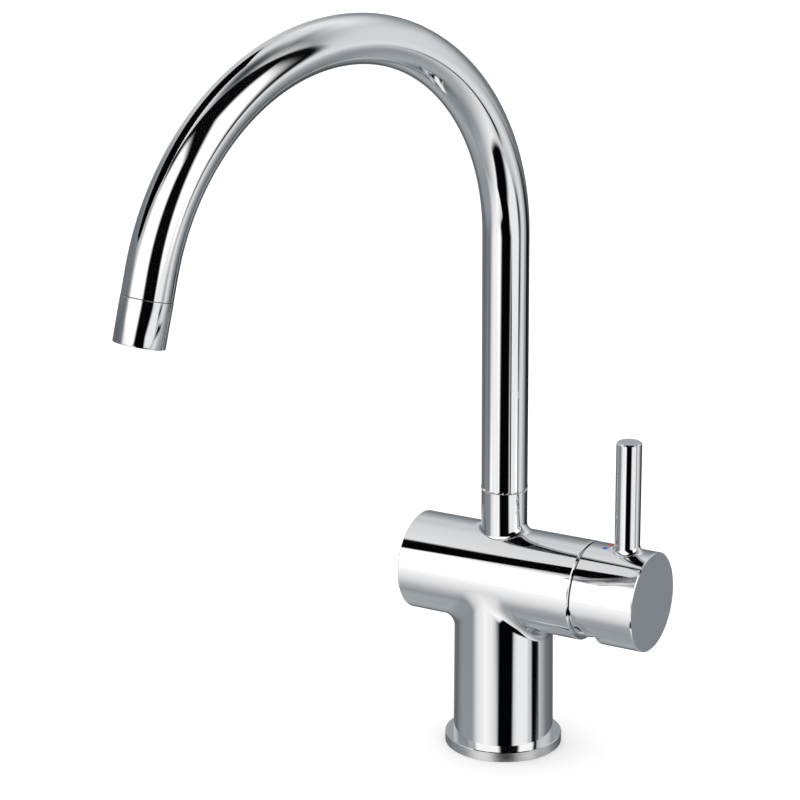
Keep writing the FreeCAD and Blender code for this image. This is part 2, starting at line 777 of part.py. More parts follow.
def swing(shape):
    """Turns a piece built with the spout ahead along +X to the spout's rest position."""
    turned = shape.copy()
    turned.rotate(vec(0, 0, 0), vec(0, 0, 1), -90 - spout_swing)
    return turned


def spout_tube():
    shape = bent_pipe(spout_radius, spout_inner_radius, spout_bottom, outlet_straight)
    rim = rim_edges(shape, vec(0, 0, 1), spout_bottom, spout_radius)
    return swing(shape.makeChamfer(seam_chamfer, rim))


def filtered_water_tube():
    tail = outlet_straight + adapter_thread_length - axial_clearance
    bore = filter_tube_radius - filter_tube_wall
    return swing(bent_pipe(filter_tube_radius, bore, filter_tube_bottom, tail))


# ---- outlet ---------------------------------------------------------------------------------


def at_outlet(shape):
    """Moves a piece built upwards from z = 0 to the tube's end, pointing along the outlet."""
    path = swan_neck_path()
    end, heading = path[4], path[5]
    lean = math.degrees(math.atan2(heading.x, heading.z))
    placed = shape.copy()
    placed.rotate(vec(0, 0, 0), vec(0, 1, 0), lean)
    placed.translate(end + heading * outlet_straight)
    return swing(placed)


def outlet_adapter():
    """Threaded ring soldered in the tube; ribs carry the boss that holds the inner tube."""
    tail = ring_z(-adapter_depth, 0, spout_inner_radius - face_clearance, adapter_radius - adapter_wall)
    thread = ring_z(0, adapter_thread_length, adapter_radius, adapter_radius - adapter_wall)
    shape = tail.fuse(thread)
    boss = rod_z(-adapter_rib_height, adapter_rib_height, filter_tube_radius + adapter_boss_wall)
    rib_length = adapter_radius - adapter_wall / 2
    corner = vec(0, -adapter_rib_width / 2, -adapter_rib_height)
    for step in range(adapter_ribs):
        rib = Part.makeBox(rib_length, adapter_rib_width, 2 * adapter_rib_height, corner)
        rib.rotate(vec(0, 0, 0), vec(0, 0, 1), 360 * step / adapter_ribs)
        boss = boss.fuse(rib)
    shape = shape.fuse(boss)
    hole = filter_tube_radius + running_clearance
    return at_outlet(shape.cut(rod_z(-adapter_depth, adapter_thread_length, hole)))


def aerator_shell():
    shape = rod_z(face_clearance, aerator_length, aerator_radius)
    end_rim = rim_edges(shape, vec(0, 0, 1), aerator_length, aerator_radius)
    shape = shape.makeChamfer(aerator_end_chamfer, end_rim)
    back_rim = rim_edges(shape, vec(0, 0, 1), face_clearance, aerator_radius)
    shape = shape.makeChamfer(seam_chamfer / 2, back_rim)
    shape = shape.cut(rod_z(0, insert_step, shell_bore_radius))
    return at_outlet(shape.cut(rod_z(insert_step, aerator_length, lip_bore_radius)))


def aerator_gasket():
    return at_outlet(ring_z(gasket_start, insert_start, adapter_radius, adapter_radius - adapter_wall))


def aerator_insert():
    """Plastic flow straightener round the nozzle: a flanged sleeve with a slotted grille at its end."""
    inner = nozzle_radius + seat_clearance
    outer = lip_bore_radius - seat_clearance
    end = aerator_length - insert_recess
    flange = ring_z(insert_start, insert_step, adapter_radius, outer - insert_wall)
    sleeve = ring_z(insert_start, end, outer, outer - insert_wall)
    hub = ring_z(insert_start, end, inner + insert_wall, inner)
    grille = ring_z(end - insert_grille_thickness, end, outer, inner)
    shape = flange.fuse(sleeve).fuse(hub).fuse(grille)
    slot_start = inner + insert_wall
    slot_length = outer - insert_wall - slot_start
    corner = vec(slot_start, -insert_slot_width / 2, end - insert_grille_thickness)
    slots = []
    for step in range(insert_slots):
        slot = Part.makeBox(slot_length, insert_slot_width, insert_grille_thickness, corner)
        slot.rotate(vec(0, 0, 0), vec(0, 0, 1), 360 * step / insert_slots)
        slots.append(slot)
    return at_outlet(shape.cut(slots))


def filtered_water_nozzle():
    """Nozzle on the inner tube's end, through the middle of the aerator."""
    start = adapter_rib_height + slot_clearance
    end = aerator_length - insert_recess / 2
    boss = rod_z(start, adapter_thread_length, filter_tube_radius + adapter_boss_wall)
    shape = boss.fuse(rod_z(adapter_thread_length, end, nozzle_radius))
    shape = shape.cut(rod_z(start, adapter_thread_length, filter_tube_radius + running_clearance))
    return at_outlet(shape.cut(rod_z(adapter_thread_length, end, nozzle_bore_radius)))


# ---- writing the pieces ---------------------------------------------------------------------

pieces = {
    "mixer_body": mixer_body(),
    "base_ring": base_ring(),
    "base_gasket": base_gasket(),
    "end_cap": end_cap(),
    "end_cap_o_ring": end_cap_o_ring(),
    "cartridge_base": cartridge_base(),
    "cartridge_port_seals": cartridge_port_seals(),
    "cartridge_housing": cartridge_housing(),
    "fixed_disc": fixed_disc(),
    "moving_disc": moving_disc(),
    "disc_carrier": disc_carrier(),
    "cartridge_rotor": cartridge_rotor(),
    "pivot_pin": pivot_pin(),
    "cartridge_stem": cartridge_stem(),
    "cartridge_nut": cartridge_nut(),
    "trim_dome": trim_dome(),
    "handle": handle(),
    "handle_grub_screw": handle_grub_screw(),
    "cold_mark": enamel_mark(-1),
    "hot_mark": enamel_mark(1),
    "lower_swivel_bush": lower_swivel_bush(),
    "upper_swivel_bush": upper_swivel_bush(),
    "spout_spigot": swing(spout_spigot()),
    "spout_o_rings": spout_o_rings(),
    "spout_retaining_screw": spout_retaining_screw(),
    "filter_tube_seal": filter_tube_seal(),
    "spout_tube": spout_tube(),
    "filtered_water_tube": filtered_water_tube(),
    "outlet_adapter": outlet_adapter(),
    "aerator_shell": aerator_shell(),
    "aerator_gasket": aerator_gasket(),
    "aerator_insert": aerator_insert(),
    "filtered_water_nozzle": filtered_water_nozzle(),
}

os.makedirs("parts", exist_ok=True)
for name, shape in pieces.items():
    if not shape.isValid():
        print("not valid:", name)
    shape.exportStep("parts/" + name + ".step")
    print(name, len(shape.Solids), "solid(s)", round(shape.Volume), "mm3")
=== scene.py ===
import math

import bmesh
import bpy
from mathutils import Matrix, Vector


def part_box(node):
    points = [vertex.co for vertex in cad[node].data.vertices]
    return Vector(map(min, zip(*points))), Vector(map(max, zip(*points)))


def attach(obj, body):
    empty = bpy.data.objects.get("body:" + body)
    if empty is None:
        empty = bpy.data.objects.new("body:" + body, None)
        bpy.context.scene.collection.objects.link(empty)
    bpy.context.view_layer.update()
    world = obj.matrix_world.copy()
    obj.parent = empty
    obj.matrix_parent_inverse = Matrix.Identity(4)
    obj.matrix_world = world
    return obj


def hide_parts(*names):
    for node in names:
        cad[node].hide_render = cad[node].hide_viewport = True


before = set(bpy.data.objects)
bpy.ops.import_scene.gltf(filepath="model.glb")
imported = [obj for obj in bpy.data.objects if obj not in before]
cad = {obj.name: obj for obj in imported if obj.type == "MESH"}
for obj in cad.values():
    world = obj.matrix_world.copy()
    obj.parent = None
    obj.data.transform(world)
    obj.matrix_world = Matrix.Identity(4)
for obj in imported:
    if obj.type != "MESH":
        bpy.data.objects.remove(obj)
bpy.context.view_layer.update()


# ---- deck gasket --------------------------------------------------------------------------------
# A flat ring of black rubber, moulded and slightly dusty with talc.  It lies in a groove in
# the base ring's underside and is squeezed against the worktop.

mm = 0.001
noise_low = 0.3
noise_high = 0.7


def plain_shader(name, colour, roughness, metallic=0.0):
    """A new material and its main shader, ready for the pattern of one finish."""
    material = bpy.data.materials.new(name)
    material.use_nodes = True
    shader = material.node_tree.nodes["Principled BSDF"]
    shader.inputs["Base Color"].default_value = (*colour, 1.0)
    shader.inputs["Roughness"].default_value = roughness
    shader.inputs["Metallic"].default_value = metallic
    return material, shader


def noise(material, scale, detail=2.0, stretch=(1.0, 1.0, 1.0)):
    """Noise on object coordinates; a stretch above 1 makes it finer along that axis."""
    tree = material.node_tree
    place = tree.nodes.new("ShaderNodeTexCoord")
    mapping = tree.nodes.new("ShaderNodeMapping")
    mapping.inputs["Scale"].default_value = stretch
    pattern = tree.nodes.new("ShaderNodeTexNoise")
    pattern.inputs["Scale"].default_value = scale
    pattern.inputs["Detail"].default_value = detail
    tree.links.new(place.outputs["Object"], mapping.inputs["Vector"])
    tree.links.new(mapping.outputs["Vector"], pattern.inputs["Vector"])
    return pattern.outputs["Fac"]


def vary_colour(material, shader, pattern, dark, light):
    tree = material.node_tree
    ramp = tree.nodes.new("ShaderNodeValToRGB")
    ramp.color_ramp.elements[0].position = noise_low
    ramp.color_ramp.elements[0].color = (*dark, 1.0)
    ramp.color_ramp.elements[1].position = noise_high
    ramp.color_ramp.elements[1].color = (*light, 1.0)
    tree.links.new(pattern, ramp.inputs["Fac"])
    tree.links.new(ramp.outputs["Color"], shader.inputs["Base Color"])


def raise_bumps(material, shader, pattern, height, strength=1.0):
    tree = material.node_tree
    bump = tree.nodes.new("ShaderNodeBump")
    bump.inputs["Distance"].default_value = height
    bump.inputs["Strength"].default_value = strength
    tree.links.new(pattern, bump.inputs["Height"])
    tree.links.new(bump.outputs["Normal"], shader.inputs["Normal"])


def dress(material, *names):
    """Gives CAD nodes that stay in view a finish of their own."""
    for name in names:
        piece = cad[name]
        if not piece.material_slots:
            piece.data.materials.append(material)
        for slot in piece.material_slots:
            slot.material = material


seal_rubber, seal_shader = plain_shader("seal_rubber", (0.03, 0.03, 0.032), 0.6)
vary_colour(seal_rubber, seal_shader, noise(seal_rubber, 350, 4), (0.02, 0.02, 0.022), (0.055, 0.055, 0.06))
raise_bumps(seal_rubber, seal_shader, noise(seal_rubber, 2500, 3), 0.04 * mm)
dress(seal_rubber, "base_gasket")


# ---- base ring ----------------------------------------------------------------------------------
# Turned brass ring at the column's foot, chrome plated.  Its top is polished like the body;
# the rim keeps the fine lines of a brush that ran round it.

ring_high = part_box("base_ring")[1]
ring_radius = ring_high.x
ring_height = ring_high.z
ring_bore = 21.05 * mm
ring_chamfer = 0.3 * mm
weld_distance = 0.002 * mm
crease_angle = math.radians(24)


def turned(outline, steps, closed=True, place=Matrix.Identity(4)):
    """Spins an outline of (radius, height) points right round the Z axis and moves it to its place."""
    bm = bmesh.new()
    points = [bm.verts.new((radius, 0, height)) for radius, height in outline]
    sides = [bm.edges.new(pair) for pair in zip(points, points[1:])]
    if closed:
        sides.append(bm.edges.new((points[-1], points[0])))
    bmesh.ops.spin(
        bm, geom=points + sides, cent=(0, 0, 0), axis=(0, 0, 1), angle=math.tau, steps=steps, use_merge=True
    )
    bmesh.ops.transform(bm, matrix=place, verts=bm.verts)
    return bm


def piece_from(bm, name, *materials):
    """Welds the mesh, turns its faces outwards, keeps its real corners crisp and makes it an object."""
    bmesh.ops.remove_doubles(bm, verts=bm.verts, dist=weld_distance)
    bmesh.ops.recalc_face_normals(bm, faces=bm.faces)
    for face in bm.faces:
        face.smooth = True
    for edge in bm.edges:
        edge.smooth = edge.calc_face_angle(0.0) < crease_angle
    mesh = bpy.data.meshes.new(name)
    bm.to_mesh(mesh)
    bm.free()
    for material in materials:
        mesh.materials.append(material)
    piece = bpy.data.objects.new(name, mesh)
    bpy.context.scene.collection.objects.link(piece)
    return piece


def vary_roughness(material, shader, pattern, low, high):
    tree = material.node_tree
    spread = tree.nodes.new("ShaderNodeMapRange")
    spread.inputs["From Min"].default_value = noise_low
    spread.inputs["From Max"].default_value = noise_high
    spread.inputs["To Min"].default_value = low
    spread.inputs["To Max"].default_value = high
    tree.links.new(pattern, spread.inputs["Value"])
    tree.links.new(spread.outputs["Result"], shader.inputs["Roughness"])


polished_chrome, chrome_shader = plain_shader("polished_chrome", (0.845, 0.85, 0.86), 0.04, 1.0)
vary_roughness(polished_chrome, chrome_shader, noise(polished_chrome, 60, 3), 0.025, 0.055)

brushed_chrome, brushed_shader = plain_shader("brushed_chrome", (0.72, 0.73, 0.74), 0.3, 1.0)
brush_lines = noise(brushed_chrome, 60, 4, (1, 1, 90))
vary_roughness(brushed_chrome, brushed_shader, brush_lines, 0.22, 0.4)
raise_bumps(brushed_chrome, brushed_shader, brush_lines, 0.02 * mm)

ring_mesh = turned(
    [
        (ring_bore, 0),
        (ring_radius - ring_chamfer, 0),
        (ring_radius, ring_chamfer),
        (ring_radius, ring_height - ring_chamfer),
        (ring_radius - ring_chamfer, ring_height),
        (ring_bore, ring_height),
    ],
    192,
)
for face in ring_mesh.faces:
    middle = face.calc_center_median()
    on_rim = middle.xy.length > ring_radius - ring_chamfer / 4
    face.material_index = 1 if on_rim else 0
base_ring = piece_from(ring_mesh, "turned_base_ring", polished_chrome, brushed_chrome)
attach(base_ring, "body")
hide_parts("base_ring")


# ---- body casting -------------------------------------------------------------------------------
# One hot-pressed brass body: column, horizontal barrel and spout collar, blended where they
# meet, bored for the cartridge and the swivel, then polished and chrome plated all over.

barrel_z = 85.7 * mm
barrel_radius = 23.8 * mm
barrel_end = 45.5 * mm
barrel_chamfer = 0.4 * mm
column_foot_radius = 24.2 * mm
column_top_radius = 23.6 * mm
column_blend = 5.2 * mm
roll_growth = 1.2
widest_roll = 60.0 * mm
nearly_level = 0.999
collar_radius = 11.0 * mm
collar_top = 129.5 * mm
collar_side_blend = 4.0 * mm
collar_front_blend = 2.0 * mm
foot_spigot_radius = 20.95 * mm
foot_spigot_low = 0.8 * mm
cartridge_floor = 12.5 * mm
cartridge_bore = 17.6 * mm
nut_bore = 18.95 * mm
nut_floor = 37.7 * mm
cap_seat = -43.5 * mm
cap_bore = 21.05 * mm
blind_floor = -17.0 * mm
blind_bore = 15.0 * mm
barrel_steps = 144
patch_pitch = 1.375 * mm
column_patch_half = 33.0 * mm
column_patch = (column_patch_half, math.radians(100))
collar_patch = (19.25 * mm, math.radians(45))
ring_past_patch = 39.0 * mm
filter_seat_floor = 83.8 * mm
filter_seat_radius = 3.05 * mm
filter_seal_floor = 89.6 * mm
filter_seal_radius = 4.95 * mm
mixed_water_floor = 92.0 * mm
mixed_water_radius = 8.3 * mm
swivel_floor = 101.0 * mm
swivel_radius = 8.9 * mm
drill_lead = 0.5 * mm
inlet_reach = 10.5 * mm
foot_hole_offset = 12.0 * mm
inlet_thread = (4.5 * mm, 12.0 * mm)
filter_thread = (3.5 * mm, 10.0 * mm)
stud_thread = (3.4 * mm, 16.0 * mm)
inlet_bore_radius = 3.25 * mm
filter_bore_radius = 2.5 * mm
bore_depth = 29.5 * mm
set_screw_height = 121.0 * mm
set_screw_hole = (2.05 * mm, 2.0 * mm)


def spun_about_barrel(outline, steps):
    """Spins an outline of (x, radius) points right round the barrel's axis."""
    bm = bmesh.new()
    points = [bm.verts.new((x, 0, barrel_z + radius)) for x, radius in outline]
    sides = [bm.edges.new(pair) for pair in zip(points, points[1:])]
    middle = (0, 0, barrel_z)
    bmesh.ops.spin(
        bm, geom=points + sides, cent=middle, axis=(1, 0, 0), angle=math.tau, steps=steps, use_merge=True
    )
    return bm


def evenly(start, end, count):
    return [start + (end - start) * step / count for step in range(count + 1)]


def open_patch(bm, skin_radius, branch_x, patch, side):
    """Takes out the skin of the barrel where a branch is to grow, up (side 1) or down (side -1)."""
    half_length, half_turn = patch
    skin_only = skin_radius * 0.99
    doomed = []
    for face in bm.faces:
        middle = face.calc_center_median()
        turn = abs(math.atan2(middle.y, side * (middle.z - barrel_z)))
        radius = math.hypot(middle.y, middle.z - barrel_z)
        if abs(middle.x - branch_x) < half_length and turn < half_turn and radius > skin_only:
            doomed.append(face)
    bmesh.ops.delete(bm, geom=doomed, context="FACES")


def grow_branch(bm, skin_radius, branch_x, radius_at, roll_at, patch, pitch, turn_step, side, tail):
    """Joins a round branch to the barrel with a rolling-ball blend.

    A grid is bent so that its rows run along the branch (tail), round the blend and out over the
    barrel's skin to the rim of the opened patch, vertex for vertex.  roll_at gives the ball's
    radius for a heading from the branch's axis."""
    half_length, half_turn = patch
    along = round(2 * half_length / pitch)
    around = round(2 * half_turn / turn_step)
    blend_rows = 12
    skin_rows = 14
    columns = 2 * (along + around)
    rows = len(tail) + blend_rows + skin_rows
    rim = [(half_length, turn) for turn in evenly(-half_turn, half_turn, around)][:-1]
    rim += [(offset, half_turn) for offset in evenly(half_length, -half_length, along)][:-1]
    rim += [(-half_length, turn) for turn in evenly(half_turn, -half_turn, around)][:-1]
    rim += [(offset, -half_turn) for offset in evenly(-half_length, half_length, along)]

    def on_skin(offset, turn):
        across = skin_radius * math.sin(turn)
        return Vector((branch_x + offset, across, barrel_z + side * skin_radius * math.cos(turn)))

    def place(column, row):
        rim_offset, rim_turn = rim[column]
        heading = math.atan2(rim_turn / half_turn, rim_offset / half_length)
        out = Vector((math.cos(heading), math.sin(heading), 0))
        axis = Vector((branch_x, 0, 0))
        if row < len(tail):
            radius, height = tail[row]
            return axis + out * radius + Vector((0, 0, height))
        roll = roll_at(out)
        reach = skin_radius + roll
        height = barrel_z
        for _ in range(3):
            ball = radius_at(height) + roll
            height = barrel_z + side * math.sqrt(reach ** 2 - (ball * out.y) ** 2)
        centre = axis + out * ball + Vector((0, 0, height))
        to_branch = -out
        to_skin = (Vector((centre.x, 0, barrel_z)) - centre).normalized()
        if row <= len(tail) + blend_rows:
            share = (row - len(tail)) / blend_rows
            return centre + roll * to_branch.slerp(to_skin, share)
        share = (row - len(tail) - blend_rows) / skin_rows
        start_offset = ball * out.x
        start_turn = math.asin(centre.y / reach)
        offset = start_offset + (rim_offset - start_offset) * share
        turn = start_turn + (rim_turn - start_turn) * share
        return on_skin(offset, turn)

    grid = bmesh.ops.create_grid(bm, x_segments=columns, y_segments=rows, size=1.0)
    for vertex in grid["verts"]:
        column = round((vertex.co.x + 1) / 2 * columns) % columns
        row = round((vertex.co.y + 1) / 2 * rows)
        vertex.co = place(column, row)


def drilled(bm, *holes):
    """Bores round holes into a closed mesh.

    Each hole gives its mouth, its direction, and its radius and depth; the drill starts a little
    before the mouth."""
    blank = bpy.data.meshes.new("blank")
    bmesh.ops.remove_doubles(bm, verts=bm.verts, dist=weld_distance)
    bmesh.ops.recalc_face_normals(bm, faces=bm.faces)
    bm.to_mesh(blank)
    bm.clear()
    drills = bmesh.new()
    for mouth, heading, (radius, depth) in holes:
        heading = Vector(heading)
        middle = Vector(mouth) + heading * (depth - drill_lead) / 2
        place = Matrix.Translation(middle) @ heading.to_track_quat("Z", "Y").to_matrix().to_4x4()
        length = depth + drill_lead
        bmesh.ops.create_cone(
            drills, cap_ends=True, segments=48, radius1=radius, radius2=radius, depth=length, matrix=place
        )
    tools = bpy.data.meshes.new("tools")
    drills.to_mesh(tools)
    drills.free()
    work = bpy.data.objects.new("work", blank)
    drill = bpy.data.objects.new("drill", tools)
    for item in (work, drill):
        bpy.context.scene.collection.objects.link(item)
    cut = work.modifiers.new("cut", "BOOLEAN")
    cut.operation = "DIFFERENCE"
    cut.solver = "EXACT"
    cut.use_self = True
    cut.object = drill
    bpy.context.view_layer.update()
    result = bpy.data.meshes.new_from_object(work.evaluated_get(bpy.context.evaluated_depsgraph_get()))
    bm.from_mesh(result)
    for item in (work, drill):
        bpy.data.objects.remove(item)
    for mesh in (blank, tools, result):
        bpy.data.meshes.remove(mesh)


body_outline = [(cartridge_floor, 0.0), (cartridge_floor, cartridge_bore), (nut_floor, cartridge_bore)]
body_outline += [(nut_floor, nut_bore), (barrel_end, nut_bore), (barrel_end, barrel_radius - barrel_chamfer)]
body_outline += [(barrel_end - barrel_chamfer, barrel_radius), (ring_past_patch, barrel_radius)]
patch_rings = round(2 * column_patch_half / patch_pitch)
body_outline += [(x, barrel_radius) for x in evenly(column_patch_half, -column_patch_half, patch_rings)]
body_outline += [(-ring_past_patch, barrel_radius), (-barrel_end + barrel_chamfer, barrel_radius)]
body_outline += [(-barrel_end, barrel_radius - barrel_chamfer), (-barrel_end, cap_bore), (cap_seat, cap_bore)]
body_outline += [(cap_seat, blind_bore), (blind_floor, blind_bore), (blind_floor, 0.0)]
body_mesh = spun_about_barrel(body_outline, barrel_steps)
open_patch(body_mesh, barrel_radius, 0.0, column_patch, -1)
open_patch(body_mesh, barrel_radius, 0.0, collar_patch, 1)


def column_radius(height):
    rise = (height - ring_height) / (barrel_z - ring_height)
    return column_foot_radius + (column_top_radius - column_foot_radius) * rise


def column_roll(heading):
    """Widens to the front and back, where the column runs almost level into the barrel."""
    lean = math.acos(min(heading.y ** 2 * column_top_radius / barrel_radius, nearly_level))
    return min(column_blend * (math.pi / 2 / lean) ** roll_growth, widest_roll)


def collar_roll(heading):
    """Full along the barrel and tight across it."""
    return collar_side_blend + (collar_front_blend - collar_side_blend) * heading.y ** 2


foot = [
    (0.0, foot_spigot_low),
    (foot_spigot_radius, foot_spigot_low),
    (foot_spigot_radius, ring_height),
    (column_foot_radius, ring_height),
]
swivel_bore = [
    (0.0, filter_seat_floor),
    (filter_seat_radius, filter_seat_floor),
    (filter_seat_radius, filter_seal_floor),
    (filter_seal_radius, filter_seal_floor),
    (filter_seal_radius, mixed_water_floor),
    (mixed_water_radius, mixed_water_floor),
    (mixed_water_radius, swivel_floor),
    (swivel_radius, swivel_floor),
    (swivel_radius, collar_top),
    (collar_radius - barrel_chamfer, collar_top),
    (collar_radius, collar_top - barrel_chamfer),
]
barrel_turn = math.tau / barrel_steps
grow_branch(
    body_mesh, barrel_radius, 0.0, column_radius, column_roll, column_patch, patch_pitch, barrel_turn,
    -1, foot,
)
grow_branch(
    body_mesh, barrel_radius, 0.0, lambda height: collar_radius, collar_roll, collar_patch, patch_pitch,
    barrel_turn, 1, swivel_bore,
)
up = (0, 0, 1)
left_mouth = (-foot_hole_offset, 0, foot_spigot_low)
inlet_mouths = [(0, -inlet_reach, foot_spigot_low), (0, inlet_reach, foot_spigot_low)]
body_holes = [(mouth, up, inlet_thread) for mouth in inlet_mouths]
body_holes += [(mouth, up, (inlet_bore_radius, bore_depth)) for mouth in inlet_mouths]
body_holes += [(left_mouth, up, filter_thread), (left_mouth, up, (filter_bore_radius, bore_depth))]
body_holes += [((foot_hole_offset, 0, foot_spigot_low), up, stud_thread)]
body_holes += [((0, collar_radius, set_screw_height), (0, -1, 0), set_screw_hole)]
drilled(body_mesh, *body_holes)
body_casting = piece_from(body_mesh, "polished_body", polished_chrome)
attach(body_casting, "body")
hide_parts("mixer_body")


# ---- end cap of the blind bore ------------------------------------------------------------------
# Turned and chromed cap that closes the barrel's blind end.  Its spigot carries a rubber O-ring
# in a groove, and its face lies flush with the barrel's rim.

cap_low, cap_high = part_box("end_cap")
cap_radius = cap_high.y
cap_chamfer = 0.3 * mm
cap_spigot_radius = 14.9 * mm
cap_groove_radius = 12.95 * mm
cap_hollow_radius = 10.9 * mm
cap_face_thickness = 2.0 * mm
cap_length = cap_high.x - cap_low.x
cap_groove_middle = cap_face_thickness + (cap_length - cap_face_thickness) / 2
cap_groove_half = 1.125 * mm
cap_place = Matrix.Translation((cap_low.x, 0, barrel_z)) @ Matrix.Rotation(math.pi / 2, 4, "Y")
cap_mesh = turned(
    [
        (0.0, 0.0),
        (cap_radius - cap_chamfer, 0.0),
        (cap_radius, cap_chamfer),
        (cap_radius, cap_face_thickness),
        (cap_spigot_radius, cap_face_thickness),
        (cap_spigot_radius, cap_groove_middle - cap_groove_half),
        (cap_groove_radius, cap_groove_middle - cap_groove_half),
        (cap_groove_radius, cap_groove_middle + cap_groove_half),
        (cap_spigot_radius, cap_groove_middle + cap_groove_half),
        (cap_spigot_radius, cap_length),
        (cap_hollow_radius, cap_length),
        (cap_hollow_radius, cap_face_thickness),
        (0.0, cap_face_thickness),
    ],
    144,
    closed=False,
    place=cap_place,
)
end_cap = piece_from(cap_mesh, "turned_end_cap", polished_chrome)
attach(end_cap, "body")
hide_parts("end_cap")
dress(seal_rubber, "end_cap_o_ring")


# ---- cartridge ----------------------------------------------------------------------------------
# A 35 mm ceramic cartridge: moulded base, housing, turret and disc carrier in glass-filled
# plastic, two lapped ceramic discs, rubber port seals, a steel pivot pin and a brass stem.

cartridge_plastic, cartridge_shader = plain_shader("cartridge_plastic", (0.82, 0.82, 0.80), 0.45)
mottle = noise(cartridge_plastic, 180, 4)
vary_colour(cartridge_plastic, cartridge_shader, mottle, (0.74, 0.74, 0.72), (0.86, 0.86, 0.84))
raise_bumps(cartridge_plastic, cartridge_shader, noise(cartridge_plastic, 3000, 2), 0.02 * mm)
cartridge_shader.inputs["Subsurface Weight"].default_value = 0.05
dress(cartridge_plastic, "cartridge_base", "cartridge_housing", "cartridge_rotor", "disc_carrier")
dress(seal_rubber, "cartridge_port_seals")

ceramic, ceramic_shader = plain_shader("lapped_ceramic", (0.90, 0.89, 0.86), 0.12)
vary_colour(ceramic, ceramic_shader, noise(ceramic, 900, 3), (0.86, 0.85, 0.82), (0.93, 0.92, 0.90))
vary_roughness(ceramic, ceramic_shader, noise(ceramic, 400, 2), 0.08, 0.2)
dress(ceramic, "fixed_disc", "moving_disc")

turned_brass, brass_shader = plain_shader("turned_brass", (0.79, 0.60, 0.28), 0.3, 1.0)
vary_colour(turned_brass, brass_shader, noise(turned_brass, 90, 4), (0.70, 0.52, 0.24), (0.83, 0.65, 0.33))
vary_roughness(turned_brass, brass_shader, noise(turned_brass, 700, 3, (8, 1, 1)), 0.22, 0.42)
dress(turned_brass, "cartridge_stem")

turned_steel, steel_shader = plain_shader("turned_steel", (0.62, 0.63, 0.65), 0.28, 1.0)
vary_roughness(turned_steel, steel_shader, noise(turned_steel, 1500, 3), 0.2, 0.38)
dress(turned_steel, "pivot_pin")


# ---- cartridge nut and trim dome ----------------------------------------------------------------
# The brass nut holds the cartridge down.  A thin spun sleeve, chrome plated, slips over it and
# is what shows in the gap and the notch between the barrel and the handle.

dress(turned_brass, "cartridge_nut")

tilt_axis_x = 48.0 * mm
dome_wall = 1.2 * mm
dome_steps = 16
dome_low, dome_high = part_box("trim_dome")
dome_radius = dome_high.y
dome_inner_radius = dome_radius - dome_wall
dome_bow = math.asin((dome_high.x - tilt_axis_x) / dome_inner_radius)


def bowed(radius):
    """The dome's line from its straight sleeve to its open front, as (radius, height) points."""
    return [(radius * math.cos(turn), radius * math.sin(turn)) for turn in evenly(0.0, dome_bow, dome_steps)]


dome_back = dome_low.x - tilt_axis_x
dome_outline = [(dome_radius, dome_back)] + bowed(dome_radius)
dome_outline += bowed(dome_inner_radius)[::-1] + [(dome_inner_radius, dome_back)]
dome_place = Matrix.Translation((tilt_axis_x, 0, barrel_z)) @ Matrix.Rotation(math.pi / 2, 4, "Y")
trim_dome = piece_from(turned(dome_outline, 160, place=dome_place), "spun_trim_dome", polished_chrome)
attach(trim_dome, "body")
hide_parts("trim_dome")


# ---- handle -------------------------------------------------------------------------------------
# Cup and upright pin cast in one and blended where they meet, chrome plated.  The end face and
# the pin's top are satin, and the lower rim is cut away so that it can swing in.

handle_low, handle_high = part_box("handle")
handle_start = handle_low.x
handle_end = handle_high.x
handle_radius = handle_high.y
cup_wall = 1.5 * mm
cup_floor = 3.5 * mm
handle_inner_radius = handle_radius - cup_wall
handle_wall_x = handle_end - cup_floor
handle_chamfer = 0.5 * mm
rim_chamfer = 0.4 * mm
hub_radius = 8.0 * mm
hub_length = 10.3 * mm
hub_start = handle_wall_x - hub_length
pin_setback = 13.4 * mm
pin_x = handle_end - pin_setback
pin_radius = 6.0 * mm
pin_top = handle_high.z
pin_blend = 3.0 * mm
pin_chamfer = 0.6 * mm
pin_patch_half = 11.0 * mm
pin_patch = (pin_patch_half, math.radians(30))
pin_pitch = 1.0 * mm
handle_steps = 180
notch_start = 2.0 * mm
notch_slope = 0.9
notch_length = 11.0 * mm
notch_corner = 4.0 * mm
notch_reach = 18.0 * mm
grub_hole_setback = 8.3 * mm
grub_hole = (2.55 * mm, 2.0 * mm)


def notch_depth(drop):
    """How far the rim is cut back, at a distance below the barrel's axis."""
    lean = math.atan(notch_slope)
    corner_drop = notch_start + notch_length / notch_slope
    tangent = notch_corner * math.tan(lean / 2)
    centre_drop = corner_drop + tangent
    if drop <= notch_start:
        return 0.0
    if drop <= corner_drop - tangent * math.cos(lean):
        return notch_slope * (drop - notch_start)
    if drop <= centre_drop:
        bow = math.sqrt(notch_corner ** 2 - (centre_drop - drop) ** 2)
        return notch_length - notch_corner + bow
    return notch_length


